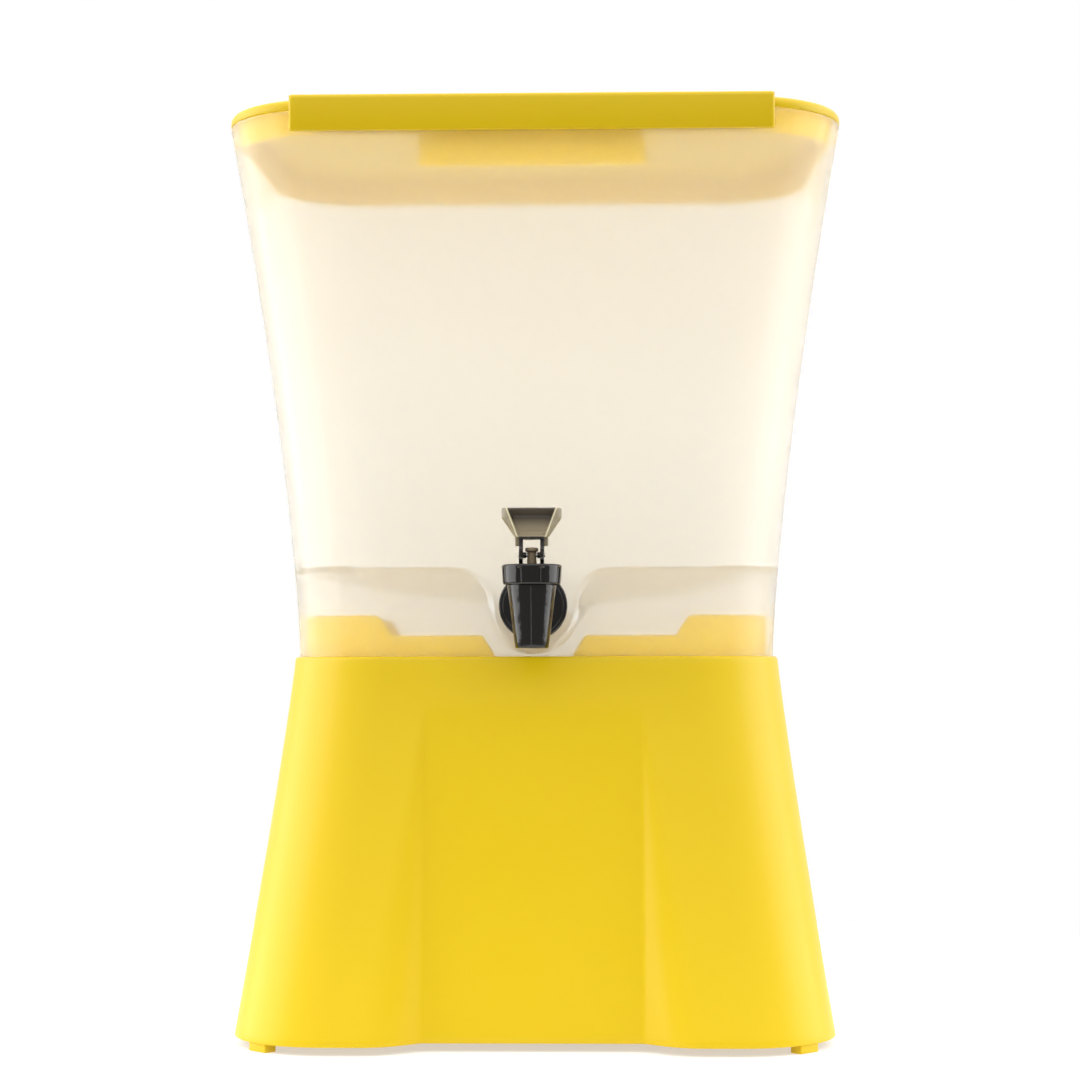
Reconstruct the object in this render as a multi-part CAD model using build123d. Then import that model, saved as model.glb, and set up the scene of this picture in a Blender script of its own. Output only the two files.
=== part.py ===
"""Counter-top beverage dispenser: hollow base, lift-off tank, lift-off lid and a self-closing faucet.

Millimetres, +Z up, the front faces -Y. The origin is on the counter, below the centre of the base.
"""

import os
from math import cos, radians, sin

from build123d import *

# Base: a hollow pedestal that stands on four small corner feet.
FOOT_HEIGHT = 4.2
FOOT_LENGTH = 13.0
FOOT_DEPTH = 7.0
FOOT_ROOT = 10.0
DECK_TOP = 194.4
DECK_THICK = 3.0
BASE_WALL = 3.0
BASE_TOP_HALF = (126.0, 88.6)
BASE_BOTTOM_HALF = (151.5, 130.4)
BASE_CORNER = 49.5
BASE_CURVE = 1.11
BASE_EDGE_ROUND = 1.2

# Recess in the base's front: a flat panel between two slanted walls, fading out towards the deck.
PANEL_HALF_WIDTH = 55.0
PANEL_TOP = (-92.2, 175.0)
PANEL_BOTTOM = (-114.8, 4.2)
PANEL_SIDE_SLOPE = 1.15

# Collar on the deck that keys into the tank's skirt, lower across its front, cut away below the
# sump, and open across its back.
COLLAR_WALL = 2.6
COLLAR_GAP = 0.6
COLLAR_TOP = 215.5
COLLAR_STEP = 205.2
COLLAR_STEP_HALF = (72.0, 78.6)
COLLAR_NOTCH_HALF = (19.3, 26.1)
COLLAR_OPENING_HALF = (74.0, 86.0)

# Tank: half-width, half-depth and corner at its bottom and its rim, and the curve of the flare.
TANK_WALL = 3.0
TANK_BOTTOM = DECK_TOP + 0.3
TANK_RIM = 470.0
TANK_BOTTOM_HALF = (123.8, 87.0)
TANK_RIM_HALF = (159.0, 108.0)
TANK_CORNERS = (49.0, 55.5)
TANK_FLARE = 1.38
TANK_SPAN = (186.0, 478.0)
TANK_SECTIONS = 9

# Tank floor: level wings and a round sump at the front, a shallow valley at the back.
# Each line is half of a section, from the side to the centre, with the round at each inner corner.
FLOOR_THICK = 3.2
FLOOR_FRONT = ((170.0, 240.6), (90.0, 239.8), (19.6, 239.8), (19.6, 198.4))
FLOOR_FRONT_ROUNDS = (40.0, 20.0, 19.2)
FLOOR_BACK = ((170.0, 240.6), (90.0, 234.5), (27.0, 228.0), (19.6, 220.0))
FLOOR_BACK_ROUNDS = (40.0, 7.0, 5.0)
FLOOR_REACH = 88.0

# Lid.
LID_THICK = 5.6
LID_PANEL_DROP = 2.4
LID_SKIN = 2.4
LID_BORDER = 16.0
LID_EDGE_ROUND = 3.2
LID_RIM_GAP = 0.3
PLUG_INSET = 5.5
PLUG_WALL = 2.5
PLUG_BOTTOM = 457.9
TAB_HALF_WIDTH = 57.0
TAB_FRONT = -101.4
TAB_BOTTOM = 441.2
GRIP_HALF_WIDTH = 121.5
GRIP_FRONT = -117.0
GRIP_WALL = 2.6
GRIP_BOTTOM = 457.2
GRIP_ROUND = 1.6

# Faucet, on the sump's axis. SHANK_Z is the shank's height, VALVE_Y the upright valve's place.
SHANK_Z = 220.0
VALVE_Y = -115.0
PAD_RADIUS = 16.4
PAD_FRONT = -88.9
PAD_BACK = -83.2
SHANK_RADIUS = 7.8
SHANK_BORE = 5.2
SHANK_END = -66.0
SHANK_HOLE = 8.0
FLANGE_RADIUS = 17.3
FLANGE_THICK = 3.6
FLANGE_STEP_RADIUS = 15.4
FLANGE_STEP = 0.9
NECK_RADIUS = 9.2
WASHER_THICK = 2.0
OUTER_WASHER_RADIUS = 15.6
INNER_WASHER_RADIUS = 13.5
NUT_ACROSS = 25.0
NUT_THICK = 8.0
SPOUT_BOTTOM = 198.4
SPOUT_RADII = (8.3, 12.3)
OUTLET_RADIUS = 6.0
SEAT_Z = 211.0
CHAMBER_RADIUS = 8.2
SHOULDER_Z = 229.8
THREAD_NECK_RADIUS = 11.0
THREAD_NECK_TOP = 235.6
BONNET_BOTTOM = 230.0
BONNET_TOP = 239.9
BONNET_RADII = (14.4, 15.1)
BONNET_BORE = 11.2
BONNET_ROOF = 2.9
BONNET_GROOVES = 8
BONNET_GROOVE_RADIUS = 1.3
BONNET_GROOVE_TOP = 237.6

# Moving valve parts.
STEM_RADIUS = 2.4
STEM_HEAD_RADIUS = 3.25
STEM_TOP = 248.2
STEM_CLEARANCE = 0.06
PIN_Z = 244.5
PIN_RADIUS = 1.0
PIN_HALF_LENGTH = 6.8
CUP_RADIUS = 7.7
CUP_BOTTOM = 211.3
CUP_TOP = 221.5
CUP_SOCKET = 215.0
SPRING_RADIUS = 4.6
SPRING_WIRE = 0.45
SPRING_TURNS = 5

# Handle: two cam legs astride the stem and a dished thumb pad above them.
LIFT = 4.0
TILT = 45.0
LEG_INNER = 4.3
LEG_OUTER = 6.2
LEG_BACK = 3.4
LEG_FRONT = -3.4
CAM_GAP = 0.15
PAD_TOP_HALF = 14.85
PAD_LOW_HALF = 8.25
PAD_HEIGHTS = (249.0, 253.0, 262.8, 267.7)
PAD_DEPTH = (-122.0, -112.4)
DISH_TOP_HALF = 12.4
DISH_LOW_HALF = 6.2
DISH_DEPTH = 5.0
BAR_BOTTOM = 252.1


def rounded_section(half_width, half_depth, corner, height):
    """A rounded rectangle centred on the Z axis."""
    outline = RectangleRounded(2 * half_width, 2 * half_depth, corner)
    return Pos(0, 0, height) * outline


def box_between(low, high):
    """A box from its lowest to its highest corner."""
    size = [b - a for a, b in zip(low, high)]
    middle = [(a + b) / 2 for a, b in zip(low, high)]
    return Pos(*middle) * Box(*size)


def rod(radius, start, end, axis="Z", x=0.0, y=0.0, z=0.0):
    """A round bar between two places on an axis that is parallel to X, Y or Z."""
    middle = (start + end) / 2
    bar = Cylinder(radius, end - start)
    if axis == "X":
        return Pos(middle, y, z) * Rot(0, 90, 0) * bar
    if axis == "Y":
        return Pos(x, middle, z) * Rot(90, 0, 0) * bar
    return Pos(x, y, middle) * bar


def front_profile(points, y_from, y_to):
    """A prism whose outline is given in X and Z, between two places along Y."""
    face = make_face(Plane.XZ * Polyline(*points, close=True))
    return Pos(0, y_to, 0) * extrude(face, y_to - y_from, dir=(0, -1, 0))


def mirrored_line(right):
    """A symmetric line from its right half, which is given from the side to the centre."""
    return right + [(-x, z) for x, z in reversed(right)]


# ---- base ----

def base_section(height, inset):
    """The base's outline at a height, pulled in by a wall thickness."""
    drop = (DECK_TOP - height) / (DECK_TOP - FOOT_HEIGHT)
    spread = max(drop, 0.0) ** BASE_CURVE
    half = [t + (b - t) * spread - inset for t, b in zip(BASE_TOP_HALF, BASE_BOTTOM_HALF)]
    return rounded_section(half[0], half[1], BASE_CORNER - inset, height)


def base_hull(inset, top):
    """The base's outer or inner solid, a little longer than the skirt at its bottom."""
    bottom = 0.0
    count = 6
    heights = [bottom + (top - bottom) * i / (count - 1) for i in range(count)]
    return loft([base_section(h, inset) for h in heights])


def recess_cutter(inset):
    """The wedge that the front recess takes out of the base."""
    top = Vector(0, PANEL_TOP[0] + inset, PANEL_TOP[1])
    bottom = Vector(0, PANEL_BOTTOM[0] + inset, PANEL_BOTTOM[1])
    along = (bottom - top).normalized()
    reach = 40.0
    extra = 16.0
    inner = PANEL_HALF_WIDTH + inset * 0.7
    outer = inner + reach * PANEL_SIDE_SLOPE
    plane = Plane(origin=top - along * extra, x_dir=(1, 0, 0), z_dir=along)
    outline = Polyline((-inner, 0), (inner, 0), (outer, reach), (-outer, reach), close=True)
    return extrude(plane * make_face(outline), (bottom - top).length + 2 * extra)


def collar():
    """The stepped ring on the deck."""
    half_width = TANK_BOTTOM_HALF[0] - TANK_WALL - COLLAR_GAP
    half_depth = TANK_BOTTOM_HALF[1] - TANK_WALL - COLLAR_GAP
    corner = TANK_CORNERS[0] - TANK_WALL - COLLAR_GAP
    root = DECK_TOP - 1.0
    outer = extrude(rounded_section(half_width, half_depth, corner, root), COLLAR_TOP - root)
    inner = rounded_section(half_width - COLLAR_WALL, half_depth - COLLAR_WALL, corner - COLLAR_WALL, root)
    ring = outer - extrude(inner, COLLAR_TOP - root)
    run = COLLAR_STEP_HALF[1] + (COLLAR_STEP_HALF[1] - COLLAR_STEP_HALF[0]) * 0.2
    over = COLLAR_TOP + (COLLAR_TOP - COLLAR_STEP) * 0.2
    step = [(run, over), (COLLAR_STEP_HALF[0], COLLAR_STEP)]
    notch = [(COLLAR_NOTCH_HALF[1], COLLAR_STEP), (COLLAR_NOTCH_HALF[0], DECK_TOP)]
    ring -= front_profile(mirrored_line(step + notch), -half_depth - 5, -half_depth / 2)
    opening = [(COLLAR_OPENING_HALF[1], COLLAR_TOP + 1.0), (COLLAR_OPENING_HALF[0], DECK_TOP)]
    return ring - front_profile(mirrored_line(opening), half_depth / 2, half_depth + 5)


def corner_foot(side_x, side_y):
    """One foot, across a corner of the skirt, with a root that stiffens the wall above it."""
    centre_x = BASE_BOTTOM_HALF[0] - BASE_CORNER
    centre_y = BASE_BOTTOM_HALF[1] - BASE_CORNER
    reach = BASE_CORNER - FOOT_DEPTH / 2 - 1.2
    foot = box_between(
        (reach - FOOT_DEPTH / 2, -FOOT_LENGTH / 2, 0.0), (reach + FOOT_DEPTH / 2, FOOT_LENGTH / 2, FOOT_ROOT)
    )
    shave = Pos(reach + FOOT_DEPTH / 2, 0, FOOT_ROOT) * Rot(0, -14, 0) * Box(3.0, 30.0, 14.0)
    placed = Pos(centre_x, centre_y, 0) * Rot(0, 0, 45) * (foot - shave)
    if side_x < 0:
        placed = placed.mirror(Plane.YZ)
    if side_y < 0:
        placed = placed.mirror(Plane.XZ)
    return placed


def make_base():
    below = box_between((-200, -200, -5), (200, 200, FOOT_HEIGHT))
    outer = base_hull(0.0, DECK_TOP) - recess_cutter(0.0)
    outer = fillet(outer.edges().group_by(Axis.Z)[-1], BASE_EDGE_ROUND)
    hollow = base_hull(BASE_WALL, DECK_TOP - DECK_THICK) - recess_cutter(BASE_WALL)
    shell = outer - hollow - below + collar()
    for side_x in (-1, 1):
        for side_y in (-1, 1):
            shell += corner_foot(side_x, side_y)
    return shell


# ---- tank ----

def tank_section(height, inset):
    """The tank's outline at a height, pulled in by a wall thickness."""
    rise = max(height - TANK_BOTTOM, 0.0) / (TANK_RIM - TANK_BOTTOM)
    flare = rise ** TANK_FLARE
    half = [low + (high - low) * flare - inset for low, high in zip(TANK_BOTTOM_HALF, TANK_RIM_HALF)]
    corner = TANK_CORNERS[0] + (TANK_CORNERS[1] - TANK_CORNERS[0]) * flare - inset
    return rounded_section(half[0], half[1], corner, height)


def tank_hull(inset):
    """The tank's outer or inner solid, longer than the tank at both ends."""
    low, high = TANK_SPAN
    step = (high - low) / (TANK_SECTIONS - 1)
    return loft([tank_section(low + step * i, inset) for i in range(TANK_SECTIONS)])


def floor_face(y, half_line, rounds, drop, cap):
    """A face across the tank between the floor line, lowered by drop, and the height of cap."""
    right = [(x, z - drop) for x, z in half_line[:2]] + [(x + drop, z - drop) for x, z in half_line[2:]]
    left = [(-x, z) for x, z in right]
    radii = [rounds[0], rounds[1] - drop, rounds[2] + drop]
    line = FilletPolyline(*left, *reversed(right), radius=radii + radii[::-1])
    far = right[0][0]
    rest = Polyline(right[0], (far, cap), (-far, cap), left[0])
    return Pos(0, y, 0) * make_face(Plane.XZ * Curve([line, rest]))


def floor_block(drop, cap):
    """The space above the floor (cap high up) or below its underside (cap low down)."""
    front = floor_face(-FLOOR_REACH, FLOOR_FRONT, FLOOR_FRONT_ROUNDS, drop, cap)
    back = floor_face(FLOOR_REACH, FLOOR_BACK, FLOOR_BACK_ROUNDS, drop, cap)
    beyond = 30.0
    block = loft([front, back], ruled=True)
    return block + extrude(front, beyond, dir=(0, -1, 0)) + extrude(back, beyond, dir=(0, 1, 0))


def make_tank():
    high = 490.0
    low = 180.0
    inner = tank_hull(TANK_WALL)
    body = tank_hull(0.0) - (inner & floor_block(0.0, high)) - (inner & floor_block(FLOOR_THICK, low))
    body -= box_between((-200, -200, low - 5), (200, 200, TANK_BOTTOM))
    body -= box_between((-200, -200, TANK_RIM), (200, 200, high + 5))
    body += rod(PAD_RADIUS, PAD_FRONT, PAD_BACK, "Y", z=SHANK_Z)
    body -= rod(SHANK_HOLE, PAD_FRONT - 2, PAD_BACK + 2, "Y", z=SHANK_Z)
    return body


# ---- lid ----

def lid_block(inset, low, high):
    """A slab with the rim's outline, pulled in by inset."""
    half_width, half_depth = TANK_RIM_HALF
    outline = rounded_section(half_width - inset, half_depth - inset, TANK_CORNERS[1] - inset, low)
    return extrude(outline, high - low)


def make_lid():
    under = TANK_RIM + LID_RIM_GAP
    top = under + LID_THICK
    depth = TANK_RIM_HALF[1]
    grip = box_between((-GRIP_HALF_WIDTH, GRIP_FRONT, GRIP_BOTTOM), (GRIP_HALF_WIDTH, 30 - depth, top))
    lip = grip - box_between((-200, GRIP_FRONT + GRIP_WALL, GRIP_BOTTOM - 5), (200, 0, top - GRIP_WALL))
    lip = fillet(lip.edges().filter_by(Axis.Z).group_by(Axis.Y)[0], GRIP_ROUND)
    plate = lid_block(0.0, under, top)
    plate = fillet(plate.edges().group_by(Axis.Z)[-1], LID_EDGE_ROUND)
    body = plate + lip
    panel_top = top - LID_PANEL_DROP
    body -= lid_block(LID_BORDER, panel_top, top + 1)
    step = LID_BORDER - LID_SKIN
    ledge = lid_block(PLUG_INSET + PLUG_WALL, under - 1, top - LID_SKIN)
    body -= ledge - lid_block(step, under - 2, top)
    body -= lid_block(step, under - 1, panel_top - LID_SKIN)
    body += lid_block(PLUG_INSET, PLUG_BOTTOM, under + 1) - lid_block(
        PLUG_INSET + PLUG_WALL, PLUG_BOTTOM - 1, under + 2
    )
    body += box_between(
        (-TAB_HALF_WIDTH, TAB_FRONT, TAB_BOTTOM), (TAB_HALF_WIDTH, TAB_FRONT + PLUG_WALL, under + 1)
    )
    return body


# ---- faucet ----

def make_faucet_body():
    flange_front = PAD_FRONT - WASHER_THICK
    flange_face = flange_front - FLANGE_THICK
    flange = rod(FLANGE_RADIUS, flange_face, flange_front, "Y", z=SHANK_Z)
    flange = fillet(flange.edges().group_by(Axis.Y)[0], 1.0)
    flange += rod(FLANGE_STEP_RADIUS, flange_face - FLANGE_STEP, flange_face, "Y", z=SHANK_Z)
    barrel_height = SHOULDER_Z - SPOUT_BOTTOM
    barrel = Pos(0, VALVE_Y, SPOUT_BOTTOM + barrel_height / 2) * Cone(*SPOUT_RADII, barrel_height)
    barrel = fillet(barrel.edges().group_by(Axis.Z)[0], 0.6)
    body = flange + barrel
    body += rod(NECK_RADIUS, VALVE_Y, flange_face, "Y", z=SHANK_Z)
    body += rod(SHANK_RADIUS, flange_face, SHANK_END, "Y", z=SHANK_Z)
    body += rod(THREAD_NECK_RADIUS, SHOULDER_Z, THREAD_NECK_TOP, y=VALVE_Y)
    body -= rod(SHANK_BORE, VALVE_Y, SHANK_END + 5, "Y", z=SHANK_Z)
    body -= rod(CHAMBER_RADIUS, SEAT_Z, THREAD_NECK_TOP + 1, y=VALVE_Y)
    body -= rod(OUTLET_RADIUS, SPOUT_BOTTOM - 1, SEAT_Z + 1, y=VALVE_Y)
    return body


def make_bonnet():
    height = BONNET_TOP - BONNET_BOTTOM
    cap = Pos(0, VALVE_Y, BONNET_BOTTOM + height / 2) * Cone(*BONNET_RADII, height)
    cap = fillet(cap.edges().group_by(Axis.Z)[-1], 1.2)
    cap -= rod(BONNET_BORE, BONNET_BOTTOM - 1, BONNET_TOP - BONNET_ROOF, y=VALVE_Y)
    cap -= rod(STEM_RADIUS + STEM_CLEARANCE, BONNET_BOTTOM, BONNET_TOP + 1, y=VALVE_Y)
    for i in range(BONNET_GROOVES):
        angle = radians(360 * (i + 0.5) / BONNET_GROOVES)
        reach = BONNET_RADII[1] + 0.4
        x = reach * sin(angle)
        y = VALVE_Y - reach * cos(angle)
        cap -= rod(BONNET_GROOVE_RADIUS, BONNET_BOTTOM - 1, BONNET_GROOVE_TOP, x=x, y=y)
    return cap


def make_washer(outer_radius, back):
    """A soft ring on the shank that ends WASHER_THICK in front of back."""
    ring = rod(outer_radius, back - WASHER_THICK, back, "Y", z=SHANK_Z)
    return ring - rod(SHANK_RADIUS + 0.1, back - WASHER_THICK - 1, back + 1, "Y", z=SHANK_Z)


def make_nut():
    front = PAD_BACK + WASHER_THICK
    outline = RegularPolygon(NUT_ACROSS / 2, 6, major_radius=False)
    nut = extrude(Plane.XZ * outline, NUT_THICK / 2, both=True)
    nut = Pos(0, front + NUT_THICK / 2, SHANK_Z) * nut
    return nut - rod(SHANK_RADIUS + 0.1, front - 1, front + NUT_THICK + 1, "Y", z=SHANK_Z)


def make_stem():
    shaft = rod(STEM_RADIUS, CUP_SOCKET, STEM_TOP - 2, y=VALVE_Y)
    head = rod(STEM_HEAD_RADIUS, PIN_Z - 1.9, STEM_TOP, y=VALVE_Y)
    head = fillet(head.edges(), 0.8)
    return shaft + head - rod(PIN_RADIUS, -9, 9, "X", y=VALVE_Y, z=PIN_Z)


def make_pin():
    pin = rod(PIN_RADIUS, -PIN_HALF_LENGTH, PIN_HALF_LENGTH, "X", y=VALVE_Y, z=PIN_Z)
    return chamfer(pin.edges(), 0.2)


def make_cup():
    cup = rod(CUP_RADIUS, CUP_BOTTOM, CUP_TOP, y=VALVE_Y)
    cup = fillet(cup.edges(), 1.2)
    return cup - rod(STEM_RADIUS, CUP_SOCKET, CUP_TOP + 1, y=VALVE_Y)


def make_spring():
    bottom = CUP_TOP + SPRING_WIRE
    top = BONNET_TOP - BONNET_ROOF - SPRING_WIRE
    height = top - bottom
    path = Pos(0, VALVE_Y, bottom) * Helix(height / SPRING_TURNS, height, SPRING_RADIUS)
    section = Plane(origin=path @ 0, z_dir=path % 0) * Circle(SPRING_WIRE)
    return sweep(section, path, is_frenet=True)


def cam_point(tilt):
    """Where the leg's cam meets the bonnet at a tilt, as Y and Z from the pin: the involute that
    lifts the pin in proportion to the tilt."""
    rise = LIFT / radians(TILT)
    angle = radians(tilt)
    reach = PIN_Z - BONNET_TOP - CAM_GAP + rise * angle
    return (-reach * sin(angle) - rise * cos(angle), -reach * cos(angle) + rise * sin(angle))


def make_leg(side):
    """One leg: a plate round the pin with the cam on its front and its root in the pad."""
    cam = [cam_point(TILT * i / 3) for i in range(4)]
    foot_back = (LEG_BACK, cam[0][1])
    toe = (cam[-1][0] + 0.9, cam[-1][1] + 1.4)
    pad_y = PAD_DEPTH[1] - VALVE_Y
    top = PAD_HEIGHTS[1] + 4 - PIN_Z
    outline = [
        Line(foot_back, cam[0]), Spline(*cam), Line(cam[-1], toe), Line(toe, (LEG_FRONT, 3.0)),
        Line((LEG_FRONT, 3.0), (LEG_FRONT, top)), Line((LEG_FRONT, top), (pad_y, top)),
        Line((pad_y, top), foot_back),
    ]
    face = Plane.YZ * make_face(Curve(outline))
    start = LEG_INNER if side > 0 else -LEG_OUTER
    plate = Pos(start, VALVE_Y, PIN_Z) * extrude(face, LEG_OUTER - LEG_INNER, dir=(1, 0, 0))
    return plate - rod(PIN_RADIUS + 0.05, -9, 9, "X", y=VALVE_Y, z=PIN_Z)


def make_handle():
    ear, low, high, top = PAD_HEIGHTS
    half = [(PAD_TOP_HALF, top), (PAD_TOP_HALF, high), (PAD_LOW_HALF, low), (PAD_LOW_HALF, ear)]
    half += [(LEG_OUTER, ear), (LEG_OUTER, BAR_BOTTOM)]
    pad = front_profile(half + [(-x, z) for x, z in reversed(half)], *PAD_DEPTH)
    dish_plane = Plane.XZ.offset(-PAD_DEPTH[0] + 0.01)
    floor_plane = Plane.XZ.offset(-PAD_DEPTH[0] - DISH_DEPTH)
    mouth = [(DISH_TOP_HALF, top - 0.6), (DISH_LOW_HALF, low + 0.6)]
    mouth += [(-x, z) for x, z in reversed(mouth)]
    bed = [(DISH_TOP_HALF - 2.2, top - 3.4), (DISH_LOW_HALF - 0.8, low + 2.0)]
    bed += [(-x, z) for x, z in reversed(bed)]
    mouth_face = dish_plane * make_face(Polyline(*mouth, close=True))
    bed_face = floor_plane * make_face(Polyline(*bed, close=True))
    pad -= loft([mouth_face, bed_face], ruled=True)
    return pad + make_leg(-1) + make_leg(1)


def main():
    os.makedirs("parts", exist_ok=True)
    nodes = {
        "base_stand": make_base(),
        "tank": make_tank(),
        "lid": make_lid(),
        "faucet_body": make_faucet_body(),
        "faucet_bonnet": make_bonnet(),
        "outer_washer": make_washer(OUTER_WASHER_RADIUS, PAD_FRONT),
        "inner_washer": make_washer(INNER_WASHER_RADIUS, PAD_BACK + WASHER_THICK),
        "shank_nut": make_nut(),
        "valve_stem": make_stem(),
        "handle_pin": make_pin(),
        "seat_cup": make_cup(),
        "stem_spring": make_spring(),
        "faucet_handle": make_handle(),
    }
    for name, shape in nodes.items():
        export_step(shape, f"parts/{name}.step")


main()
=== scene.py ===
"""Looks of the counter-top beverage dispenser: shells, faucet, materials, studio and camera.

Lengths are in millimetres and are scaled to metres where a mesh is made. The front faces -Y.
"""

from math import acos, atan2, cos, pi, radians, sin, sqrt

import bmesh
import bpy
from mathutils import Matrix, Vector


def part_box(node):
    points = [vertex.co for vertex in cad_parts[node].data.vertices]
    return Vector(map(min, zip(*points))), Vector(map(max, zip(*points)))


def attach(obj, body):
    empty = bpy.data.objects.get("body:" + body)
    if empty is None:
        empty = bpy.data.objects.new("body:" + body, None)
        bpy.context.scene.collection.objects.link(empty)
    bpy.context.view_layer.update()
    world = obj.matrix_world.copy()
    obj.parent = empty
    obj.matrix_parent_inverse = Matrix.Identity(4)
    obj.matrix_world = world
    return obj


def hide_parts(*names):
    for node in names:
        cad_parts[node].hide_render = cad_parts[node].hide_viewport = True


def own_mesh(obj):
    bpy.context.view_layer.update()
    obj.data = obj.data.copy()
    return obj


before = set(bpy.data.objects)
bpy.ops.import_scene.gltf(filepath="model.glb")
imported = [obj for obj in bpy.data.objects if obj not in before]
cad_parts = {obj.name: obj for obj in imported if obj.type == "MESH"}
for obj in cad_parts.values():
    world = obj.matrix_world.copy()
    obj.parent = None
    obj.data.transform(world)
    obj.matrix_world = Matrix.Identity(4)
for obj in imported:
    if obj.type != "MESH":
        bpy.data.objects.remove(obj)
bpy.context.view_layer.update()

MM = 0.001
WELD = 1e-7
ROUND_STEPS = 96


def node_box(node):
    """Lowest and highest corner of a CAD node, in millimetres."""
    low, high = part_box(node)
    return [v / MM for v in low], [v / MM for v in high]


# ---- driving sizes, read from the frame where it has them ----

TANK_LOW, TANK_HIGH = node_box("tank")
LID_LOW, LID_HIGH = node_box("lid")
BONNET_LOW, BONNET_HIGH = node_box("faucet_bonnet")
PIN_LOW, PIN_HIGH = node_box("handle_pin")
HANDLE_HIGH = node_box("faucet_handle")[1]
BODY_LOW, BODY_HIGH = node_box("faucet_body")
NUT_LOW, NUT_HIGH = node_box("shank_nut")
SPRING_LOW, SPRING_HIGH = node_box("stem_spring")

WALL = 3.0
FOOT_HEIGHT = 4.2
FOOT_INSET = 1.4
FOOT_DEPTH = 7.0
FOOT_HALF_WIDTH = 6.5
FOOT_ROOT = 3.0
CORNERS = ((-1, -1), (1, -1), (1, 1), (-1, 1))
DECK = 194.4
BASE_TOP_HALF = (126.0, 88.6)
BASE_BOTTOM_HALF = (151.4, 130.3)
BASE_CORNER = 49.5
BASE_CURVE = 1.11
PANEL_HALF = 55.0
PANEL_TOP = (-92.2, 175.0)
PANEL_BOTTOM = (-114.8, FOOT_HEIGHT)
PANEL_SLOPE = 1.15
PANEL_CREASE = 1.6
PANEL_BLEND = 9.0
COLLAR_HALF = (120.2, 83.4)
COLLAR_CORNER = 45.4
COLLAR_WALL = 2.6
COLLAR_FRONT = ((19.3, DECK), (26.1, 205.2), (72.0, 205.2), (78.6, 215.5))
COLLAR_BACK = ((74.0, DECK), (86.0, 215.5))
COLLAR_DROPS = (0.7, 7.0, 14.0, 22.0)
DECK_RINGS = (15.0, 30.0, 42.0)
BASE_EDGE = 1.6

TANK_BOTTOM = TANK_LOW[2]
RIM = TANK_HIGH[2]
TANK_BOTTOM_HALF = (123.8, 87.0)
TANK_RIM_HALF = (TANK_HIGH[0], TANK_HIGH[1])
TANK_CORNERS = (49.0, 55.5)
TANK_FLARE = 1.38

VALVE_Y = (PIN_LOW[1] + PIN_HIGH[1]) / 2
PIN_Z = (PIN_LOW[2] + PIN_HIGH[2]) / 2
SHANK_Z = (NUT_LOW[2] + NUT_HIGH[2]) / 2
PAD_RADIUS = 16.4
PAD_FRONT = -88.9
PAD_BACK = -83.2
TANK_HOLE = 8.0
RIM_ROUNDS = (1.2, 0.8)
TANK_ROWS = 52


# ---- mesh helpers ----

def mesh_object(name, verts, faces, material, sharp=35.0):
    """An object from points in millimetres, smooth except across edges sharper than the angle."""
    mesh = bpy.data.meshes.new(name)
    mesh.from_pydata([(x * MM, y * MM, z * MM) for x, y, z in verts], [], faces)
    bm = bmesh.new()
    bm.from_mesh(mesh)
    bmesh.ops.remove_doubles(bm, verts=bm.verts, dist=WELD)
    bmesh.ops.dissolve_degenerate(bm, dist=WELD, edges=bm.edges)
    bmesh.ops.recalc_face_normals(bm, faces=bm.faces)
    bm.to_mesh(mesh)
    bm.free()
    return finish_object(name, mesh, material, sharp)


def smooth(mesh, sharp):
    """Smooth shading, except across edges sharper than an angle in degrees."""
    mesh.polygons.foreach_set("use_smooth", [True] * len(mesh.polygons))
    mesh.set_sharp_from_angle(angle=radians(sharp))


def finish_object(name, mesh, material, sharp=35.0):
    """An object with one material, in the scene."""
    smooth(mesh, sharp)
    mesh.materials.clear()
    mesh.materials.append(material)
    obj = bpy.data.objects.new(name, mesh)
    bpy.context.scene.collection.objects.link(obj)
    return obj


def joined(name, objects):
    """One object out of several."""
    for other in bpy.context.selected_objects:
        other.select_set(False)
    for obj in objects:
        obj.select_set(True)
    bpy.context.view_layer.objects.active = objects[0]
    bpy.ops.object.join()
    objects[0].name = name
    objects[0].data.name = name
    return objects[0]


def skin(rings, closed=False):
    """Points and faces that bridge rings of equal count. Open stacks get an end face at both ends."""
    count = len(rings[0])
    verts = [p for ring in rings for p in ring]
    faces = []
    pairs = len(rings) if closed else len(rings) - 1
    for i in range(pairs):
        a = i * count
        b = ((i + 1) % len(rings)) * count
        for j in range(count):
            k = (j + 1) % count
            faces.append((a + j, a + k, b + k, b + j))
    if not closed:
        faces.append(tuple(reversed(range(count))))
        last = (len(rings) - 1) * count
        faces.append(tuple(range(last, last + count)))
    return verts, faces


def lathe(profile, steps, shift=None, closed=False):
    """Turns (radius, height) points about Z. shift(angle, radius, height) may change a radius."""
    rings = []
    for radius, height in profile:
        ring = []
        for i in range(steps):
            angle = 2 * pi * i / steps
            r = shift(angle, radius, height) if shift else radius
            ring.append((r * sin(angle), -r * cos(angle), height))
        rings.append(ring)
    return skin(rings, closed)


def upright(verts):
    """Points turned about the origin's Z axis, moved to the valve's axis."""
    return [(x, y + VALVE_Y, z) for x, y, z in verts]


def forward(verts):
    """Points turned about Z, laid along the shank: their height becomes the distance towards +Y."""
    return [(x, z, -y + SHANK_Z) for x, y, z in verts]


def cutter(name, radius, start, end, turn, material):
    """A plain round tool to take away from another mesh."""
    verts, faces = lathe([(0.0, start), (radius, start), (radius, end), (0.0, end)], ROUND_STEPS)
    return mesh_object(name, turn(verts), faces, material)


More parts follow.
